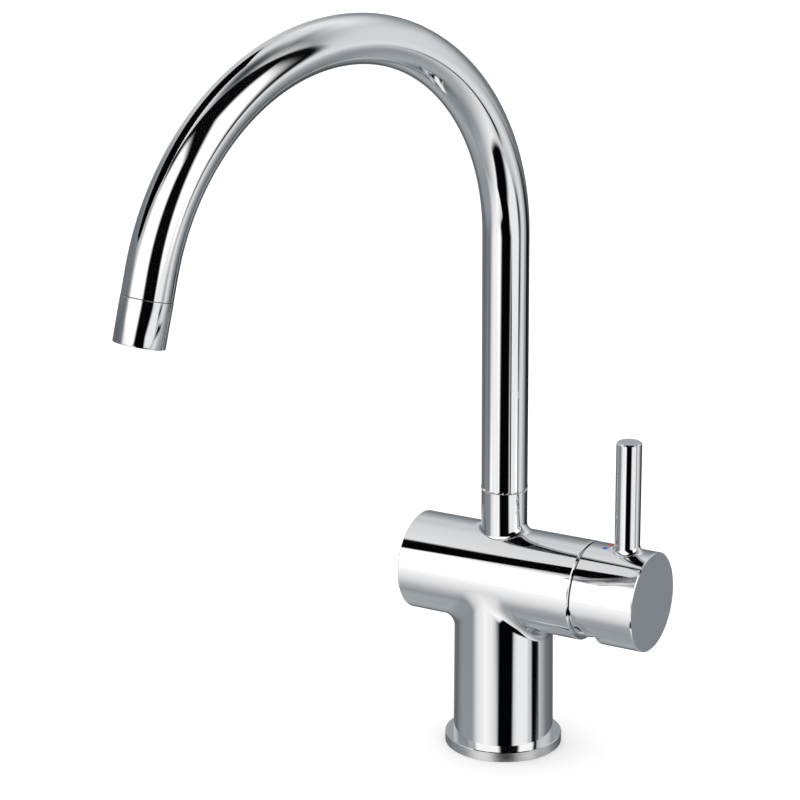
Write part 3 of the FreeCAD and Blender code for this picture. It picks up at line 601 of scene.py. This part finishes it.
cup_outline = [(hub_start, 0.0), (hub_start, hub_radius), (handle_wall_x, hub_radius)]
cup_outline += [(handle_wall_x, handle_inner_radius)]
cup_outline += [(x, handle_inner_radius) for x in evenly(handle_start + notch_reach, handle_start, 6)]
cup_outline += [(handle_start, handle_radius - rim_chamfer), (handle_start + rim_chamfer, handle_radius)]
pin_rings = round(2 * pin_patch_half / pin_pitch)
cup_outline += [(x, handle_radius) for x in evenly(pin_x - pin_patch_half, pin_x + pin_patch_half, pin_rings)]
cup_outline += [(handle_end - handle_chamfer, handle_radius), (handle_end, handle_radius - handle_chamfer)]
cup_outline += [(handle_end, 0.0)]
handle_mesh = spun_about_barrel(cup_outline, handle_steps)
notch_fade = handle_start + notch_reach
for vertex in handle_mesh.verts:
    drop = barrel_z - vertex.co.z
    wall = math.hypot(vertex.co.y, vertex.co.z - barrel_z) > handle_inner_radius - rim_chamfer / 4
    if wall and vertex.co.x < notch_fade:
        share = (notch_fade - vertex.co.x) / (notch_fade - handle_start)
        vertex.co.x += notch_depth(drop) * share
open_patch(handle_mesh, handle_radius, pin_x, pin_patch, 1)
pin_tail = [(0.0, pin_top), (pin_radius - pin_chamfer, pin_top), (pin_radius, pin_top - pin_chamfer)]
handle_turn = math.tau / handle_steps
grow_branch(
    handle_mesh, handle_radius, pin_x, lambda height: pin_radius, lambda heading: pin_blend, pin_patch,
    pin_pitch, handle_turn, 1, pin_tail,
)
drilled(handle_mesh, ((handle_end - grub_hole_setback, 0, handle_low.z), up, grub_hole))
for face in handle_mesh.faces:
    middle = face.calc_center_median()
    on_end = middle.x > handle_end - handle_chamfer / 8
    on_top = middle.z > pin_top - pin_chamfer / 8
    face.material_index = 1 if on_end or on_top else 0

satin_chrome, satin_shader = plain_shader("satin_chrome", (0.57, 0.61, 0.65), 0.5, 1.0)
vary_colour(satin_chrome, satin_shader, noise(satin_chrome, 2600, 2), (0.52, 0.56, 0.60), (0.62, 0.66, 0.70))
vary_roughness(satin_chrome, satin_shader, noise(satin_chrome, 1200, 2), 0.45, 0.6)
handle = piece_from(handle_mesh, "cup_handle", polished_chrome, satin_chrome)
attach(handle, "lever")
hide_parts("handle")
dress(turned_steel, "handle_grub_screw")


# ---- temperature marks --------------------------------------------------------------------------
# Two small dots of glossy enamel in the handle's top, blue in front for cold and red behind
# for hot, each filled level with the chrome.

cold_enamel, cold_shader = plain_shader("cold_enamel", (0.01, 0.12, 0.42), 0.2)
vary_colour(cold_enamel, cold_shader, noise(cold_enamel, 1500, 2), (0.008, 0.10, 0.36), (0.015, 0.15, 0.48))
hot_enamel, hot_shader = plain_shader("hot_enamel", (0.50, 0.02, 0.03), 0.2)
vary_colour(hot_enamel, hot_shader, noise(hot_enamel, 1500, 2), (0.42, 0.015, 0.02), (0.56, 0.03, 0.04))
dress(cold_enamel, "cold_mark")
dress(hot_enamel, "hot_mark")


# ---- swivel -------------------------------------------------------------------------------------
# Two bushes of pale self-lubricating plastic guide the spout's turned tail.  The upper one's
# flange is the fine line between collar and spout; O-rings seal, and a set screw holds the tail.

bush_plastic, bush_shader = plain_shader("bush_plastic", (0.70, 0.70, 0.68), 0.4)
vary_colour(bush_plastic, bush_shader, noise(bush_plastic, 500, 3), (0.62, 0.62, 0.60), (0.76, 0.76, 0.74))
dress(bush_plastic, "lower_swivel_bush", "upper_swivel_bush")
dress(turned_brass, "spout_spigot")
dress(seal_rubber, "spout_o_rings", "filter_tube_seal")
dress(turned_steel, "spout_retaining_screw")


# ---- spout tube ---------------------------------------------------------------------------------
# Drawn brass tube, bent to a swan neck in two arcs on a mandrel, polished and chrome plated.
# It rests turned a little away from straight ahead.

tube_radius = 11.0 * mm
tube_inner_radius = 9.5 * mm
tube_sides = 128
bend_steps = 72
tube_bottom = 130.03 * mm
tube_chamfer = 0.4 * mm
riser_top = 253.2 * mm
first_bend = (100.9 * mm, math.radians(82.0))
second_bend = (111.8 * mm, math.radians(82.8))
outlet_straight = 10.9 * mm
spout_swing = math.radians(90 + 15.2)
swing = Matrix.Rotation(-spout_swing, 4, "Z")


def bent_tube(bm, cross_section, bottom, straight_end):
    """Draws a cross-section up the riser, round both bends and on to the outlet.

    Returns the outlet's place: its origin at the second bend's end and its Z along the outlet."""
    place = Matrix.Translation((0, 0, bottom))
    top_faces = cross_section
    runs = [("straight", riser_top - bottom), ("bend", first_bend), ("bend", second_bend)]
    for kind, size in runs + [("straight", straight_end)]:
        if kind == "straight":
            step = place.to_3x3() @ Vector((0, 0, size))
            grown = bmesh.ops.extrude_face_region(bm, geom=top_faces)["geom"]
            moved = [item for item in grown if isinstance(item, bmesh.types.BMVert)]
            bmesh.ops.translate(bm, verts=moved, vec=step)
            bmesh.ops.delete(bm, geom=top_faces, context="FACES_ONLY")
            top_faces = [item for item in grown if isinstance(item, bmesh.types.BMFace)]
            place = place @ Matrix.Translation((0, 0, size))
        else:
            radius, turn = size
            centre = place @ Vector((radius, 0, 0))
            grown = bmesh.ops.spin(
                bm, geom=top_faces, cent=centre, axis=(0, 1, 0), angle=turn, steps=bend_steps, use_merge=False
            )["geom_last"]
            bmesh.ops.delete(bm, geom=top_faces, context="FACES_ONLY")
            top_faces = [item for item in grown if isinstance(item, bmesh.types.BMFace)]
            bend = Matrix.Translation(centre) @ Matrix.Rotation(turn, 4, "Y") @ Matrix.Translation(-centre)
            place = bend @ place
    return place


tube_mesh = bmesh.new()
for radius in (tube_radius, tube_inner_radius):
    bmesh.ops.create_circle(tube_mesh, segments=tube_sides, radius=radius)
bmesh.ops.translate(tube_mesh, verts=tube_mesh.verts, vec=(0, 0, tube_bottom))
section = bmesh.ops.bridge_loops(tube_mesh, edges=tube_mesh.edges)["faces"]
bmesh.ops.duplicate(tube_mesh, geom=section)
outlet_place = bent_tube(tube_mesh, section, tube_bottom, outlet_straight)
bmesh.ops.remove_doubles(tube_mesh, verts=tube_mesh.verts, dist=weld_distance)


def on_bottom_rim(vertex):
    from_axis = vertex.co.xy.length
    return abs(vertex.co.z - tube_bottom) < weld_distance and from_axis > tube_radius - weld_distance


rim = [edge for edge in tube_mesh.edges if all(on_bottom_rim(vertex) for vertex in edge.verts)]
bmesh.ops.bevel(
    tube_mesh, geom=rim, offset=tube_chamfer, affect="EDGES", segments=2, profile=0.5, material=-1
)
bmesh.ops.transform(tube_mesh, matrix=swing, verts=tube_mesh.verts)
spout_tube = piece_from(tube_mesh, "swan_neck", polished_chrome)
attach(spout_tube, "spout")
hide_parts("spout_tube")


# ---- filtered water way -------------------------------------------------------------------------
# A thin tube of natural plastic runs inside the swan neck and keeps filtered water apart.  A
# brass adapter soldered in the spout's end holds it in the middle.

clear_plastic, clear_shader = plain_shader("natural_tube", (0.80, 0.83, 0.86), 0.3)
vary_colour(clear_plastic, clear_shader, noise(clear_plastic, 120, 2), (0.76, 0.79, 0.82), (0.86, 0.88, 0.90))
clear_shader.inputs["Subsurface Weight"].default_value = 0.2
dress(clear_plastic, "filtered_water_tube")
dress(turned_brass, "outlet_adapter")


# ---- aerator ------------------------------------------------------------------------------------
# A turned and chromed shell screws on the adapter.  It holds a rubber ring, a slotted insert of
# light grey plastic and, in the middle, the nozzle for filtered water.

aerator_radius = 11.1 * mm
aerator_length = 19.8 * mm
aerator_end_chamfer = 0.6 * mm
aerator_edge = aerator_end_chamfer * 0.3
aerator_back_chamfer = 0.1 * mm
aerator_gap = 0.03 * mm
seam_radius = 10.55 * mm
seam_width = 0.3 * mm
aerator_step = 10.5 * mm
aerator_thread_bore = 10.15 * mm
aerator_lip_bore = 9.3 * mm
outlet = swing @ outlet_place
shell_outline = [
    (aerator_thread_bore, aerator_gap),
    (seam_radius, aerator_gap),
    (seam_radius, seam_width),
    (aerator_radius - aerator_back_chamfer, seam_width),
    (aerator_radius, seam_width + aerator_back_chamfer),
    (aerator_radius, aerator_length - aerator_end_chamfer),
    (aerator_radius - aerator_edge, aerator_length - aerator_edge),
    (aerator_radius - aerator_end_chamfer, aerator_length),
    (aerator_lip_bore, aerator_length),
    (aerator_lip_bore, aerator_step),
    (aerator_thread_bore, aerator_step),
]
shell_mesh = turned(shell_outline, 144, place=outlet)
along_outlet = outlet.to_3x3() @ Vector((0, 0, 1))
# The faces of the shell's back step at the seam take the black rubber finish: painted shade, a dark line
# where the chrome shell meets the tube.
for face in shell_mesh.faces:
    depth = (face.calc_center_median() - outlet.translation).dot(along_outlet)
    face.material_index = 1 if depth < seam_width + aerator_back_chamfer / 4 else 0
aerator_shell = piece_from(shell_mesh, "turned_aerator_shell", polished_chrome, seal_rubber)
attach(aerator_shell, "spout")
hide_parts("aerator_shell")

aerator_plastic, aerator_shader = plain_shader("aerator_plastic", (0.62, 0.63, 0.64), 0.4)
speckle = noise(aerator_plastic, 600, 3)
vary_colour(aerator_plastic, aerator_shader, speckle, (0.56, 0.57, 0.58), (0.68, 0.69, 0.70))
dress(aerator_plastic, "aerator_insert", "filtered_water_nozzle")
dress(seal_rubber, "aerator_gasket")


# ---- studio -------------------------------------------------------------------------------------
# A plain pale table in an even light.  What the chrome mirrors is a grey tent with white panels
# and black cards before it, seen by reflected light alone, as they are hung for polished metal.

table_size = 6.0
table_mesh = bmesh.new()
bmesh.ops.create_grid(table_mesh, x_segments=1, y_segments=1, size=table_size)
pale_table, table_shader = plain_shader("pale_table", (0.97, 0.97, 0.97), 0.9)
vary_colour(pale_table, table_shader, noise(pale_table, 8, 2), (0.965, 0.965, 0.965), (0.975, 0.975, 0.975))
table_shader.inputs["Specular IOR Level"].default_value = 0.0
table = piece_from(table_mesh, "table", pale_table)
table.visible_glossy = False

world = bpy.data.worlds.new("studio_tent")
world.use_nodes = True
tent = world.node_tree
sky = tent.nodes.new("ShaderNodeTexCoord").outputs["Generated"]
white = 1.25
black = 0.002
red_power = 1.12
green_power = 1.05
fill_light = 1.3


def toward(azimuth, elevation):
    """A direction from the tap in degrees; azimuth 0 is the handle's side and -90 the user's."""
    azimuth = math.radians(azimuth)
    elevation = math.radians(elevation)
    level = math.cos(elevation)
    return Vector((level * math.cos(azimuth), level * math.sin(azimuth), math.sin(elevation)))


def grey(tone):
    """A grey that is the colder the darker it is."""
    return (tone ** red_power, tone ** green_power, tone, 1.0)


def hang(behind, tone, blur, *corners):
    """Hangs a panel of one tone before what is behind it; corners are in degrees.

    The panel is what lies inside all its sides, and its edge is as soft as the blur."""
    sides = [toward(*corner) for corner in corners]
    middle = sum(sides, Vector())
    inside = None
    for first, second in zip(sides, sides[1:] + sides[:1]):
        normal = first.cross(second).normalized()
        if normal.dot(middle) < 0:
            normal = -normal
        dot = tent.nodes.new("ShaderNodeVectorMath")
        dot.operation = "DOT_PRODUCT"
        dot.inputs[1].default_value = normal
        tent.links.new(sky, dot.inputs[0])
        if inside is None:
            inside = dot.outputs["Value"]
        else:
            least = tent.nodes.new("ShaderNodeMath")
            least.operation = "MINIMUM"
            tent.links.new(inside, least.inputs[0])
            tent.links.new(dot.outputs["Value"], least.inputs[1])
            inside = least.outputs["Value"]
    edge = tent.nodes.new("ShaderNodeMapRange")
    edge.interpolation_type = "SMOOTHSTEP"
    edge.inputs["From Min"].default_value = -math.sin(math.radians(blur))
    edge.inputs["From Max"].default_value = math.sin(math.radians(blur))
    tent.links.new(inside, edge.inputs["Value"])
    layer = tent.nodes.new("ShaderNodeMix")
    layer.data_type = "RGBA"
    layer.inputs["B"].default_value = grey(tone)
    tent.links.new(edge.outputs["Result"], layer.inputs["Factor"])
    tent.links.new(behind, layer.inputs["A"])
    return layer.outputs["Result"]


walls = tent.nodes.new("ShaderNodeValToRGB")
# tones of the bare tent by elevation, from straight down to straight up
wall_tones = [
    (-90, 0.30), (-60, 0.45), (-40, 0.35), (-23, 0.35), (-10, 0.19),
    (10, 0.23), (30, 0.43), (50, 0.93), (70, 0.76), (90, 0.10),
]
height = tent.nodes.new("ShaderNodeSeparateXYZ")
level = tent.nodes.new("ShaderNodeMapRange")
level.inputs["From Min"].default_value = -1.0
tent.links.new(sky, height.inputs["Vector"])
tent.links.new(height.outputs["Z"], level.inputs["Value"])
tent.links.new(level.outputs["Result"], walls.inputs["Fac"])
ramp = walls.color_ramp
for _ in wall_tones[2:]:
    ramp.elements.new(0.5)
for element, (elevation, tone) in zip(ramp.elements, wall_tones):
    element.position = (1 + math.sin(math.radians(elevation))) / 2
    element.color = grey(tone)

surround = walls.outputs["Color"]
# soft walls: grey at both left corners, pale at the right, dark high and low behind
surround = hang(surround, 0.65, 8, (-156, -45), (-137, 22), (-138, 30), (-105, -36))
surround = hang(surround, 0.77, 18, (26, 50), (2, -16), (32, -22), (77, 23))
surround = hang(surround, black, 18, (25, 40), (56, 62), (57, 37), (24, 86))
surround = hang(surround, 0.65, 9, (127, 54), (123, -29), (168, 28), (180, 55))
surround = hang(
    surround, 0.07, 16, (58, -24), (92, -17), (178, -15), (156, -30), (113, -43), (62, -35)
)
# the broad bright front, and a thin black card low behind
surround = hang(
    surround, 1.19, 18, (-142, 30), (-127, -17), (-102, -39), (-65, -53), (-15, -50), (17, -24), (37, -14),
    (-76, 55),
)
surround = hang(surround, black, 4.5, (47, -3), (51, -9), (62, -20), (113, -15))
# two black cards in front; the white panels hung over them leave dark stripes open
surround = hang(
    surround, black, 1.6, (-138, 47), (-119, 73), (-74, 80), (-50, 80), (-12, 75), (4, 67), (19, 43),
    (23, 11), (25, -10), (-86, -20),
)
surround = hang(surround, black, 2, (-73, -20), (9, 3), (1, -24), (-22, -40), (-45, -49), (-81, -37))
# white panels: a large one at the left, an upright one at the right, a greyer one below it
surround = hang(
    surround, white, 4.8, (-137, -11), (-154, 42), (-124, 60), (-117, 60), (-84, 59), (-59, 56), (-75, 5),
    (-88, -21), (-91, -20), (-149, -48),
)
surround = hang(
    surround, white, 4.5, (-27, 45), (13, 34), (16, 8), (21, -12), (12, -11), (-24, -10), (-25, 7)
)
surround = hang(
    surround, 0.96, 4, (-26, -6), (12, 23), (2, -18), (-1, -24), (-9, -29), (-28, -27), (-40, -24), (-41, -8)
)
# black cards low at the right
surround = hang(surround, black, 1.5, (11, -21), (29, -23), (25, -25), (1, -26))
surround = hang(surround, black, 11, (19, -79), (-4, -76), (75, -89), (91, -59), (98, -54), (25, -30))
lamp = tent.nodes["Background"]
tent.links.new(surround, lamp.inputs["Color"])
plain = tent.nodes.new("ShaderNodeBackground")
plain.inputs["Color"].default_value = (1.0, 1.0, 1.0, 1.0)
plain.inputs["Strength"].default_value = fill_light
rays = tent.nodes.new("ShaderNodeLightPath")
either = tent.nodes.new("ShaderNodeMixShader")
tent.links.new(rays.outputs["Is Glossy Ray"], either.inputs["Fac"])
tent.links.new(plain.outputs["Background"], either.inputs[1])
tent.links.new(lamp.outputs["Background"], either.inputs[2])
tent.links.new(either.outputs["Shader"], tent.nodes["World Output"].inputs["Surface"])
bpy.context.scene.world = world

# a level black card above and in front, to the left: the dark band along barrel and handle
gap_height = 0.385
gap_corners = [
    (-0.437, -0.329), (-0.300, -0.249), (-0.213, -0.209), (-0.060, -0.122), (-0.050, -0.150),
    (-0.110, -0.256), (-0.289, -0.379), (-0.398, -0.396),
]
dark_gap = bmesh.new()
dark_gap.faces.new([dark_gap.verts.new((x, y, gap_height)) for x, y in gap_corners])
matt_black, matt_shader = plain_shader("matt_black", (0.0, 0.0, 0.0), 1.0)
matt_shader.inputs["Specular IOR Level"].default_value = 0.0
gap_card = piece_from(dark_gap, "gap_card", matt_black)
gap_card.visible_camera = False
gap_card.visible_diffuse = False
gap_card.visible_transmission = False
gap_card.visible_shadow = False


# ---- camera -------------------------------------------------------------------------------------
# It stands in front of the tap, to the right and higher than its crown, and looks down on it
# through a long lens, so that upright lines stay nearly parallel.

camera_place = Vector((0.5611, -1.0557, 0.5267))
camera_yaw = math.radians(30.36)
camera_pitch = math.radians(16.49)
camera_roll = math.radians(-0.36)
camera_lens = 119.03
sensor_width = 36.0
camera_data = bpy.data.cameras.new("camera")
camera_data.lens = camera_lens
camera_data.sensor_width = sensor_width
camera_data.clip_start = 0.05
camera = bpy.data.objects.new("camera", camera_data)
bpy.context.scene.collection.objects.link(camera)
turn = Matrix.Rotation(camera_yaw, 4, "Z") @ Matrix.Rotation(math.pi / 2 - camera_pitch, 4, "X")
camera.matrix_world = Matrix.Translation(camera_place) @ turn @ Matrix.Rotation(camera_roll, 4, "Z")
bpy.context.scene.camera = camera
bpy.context.scene.view_settings.view_transform = "Standard"
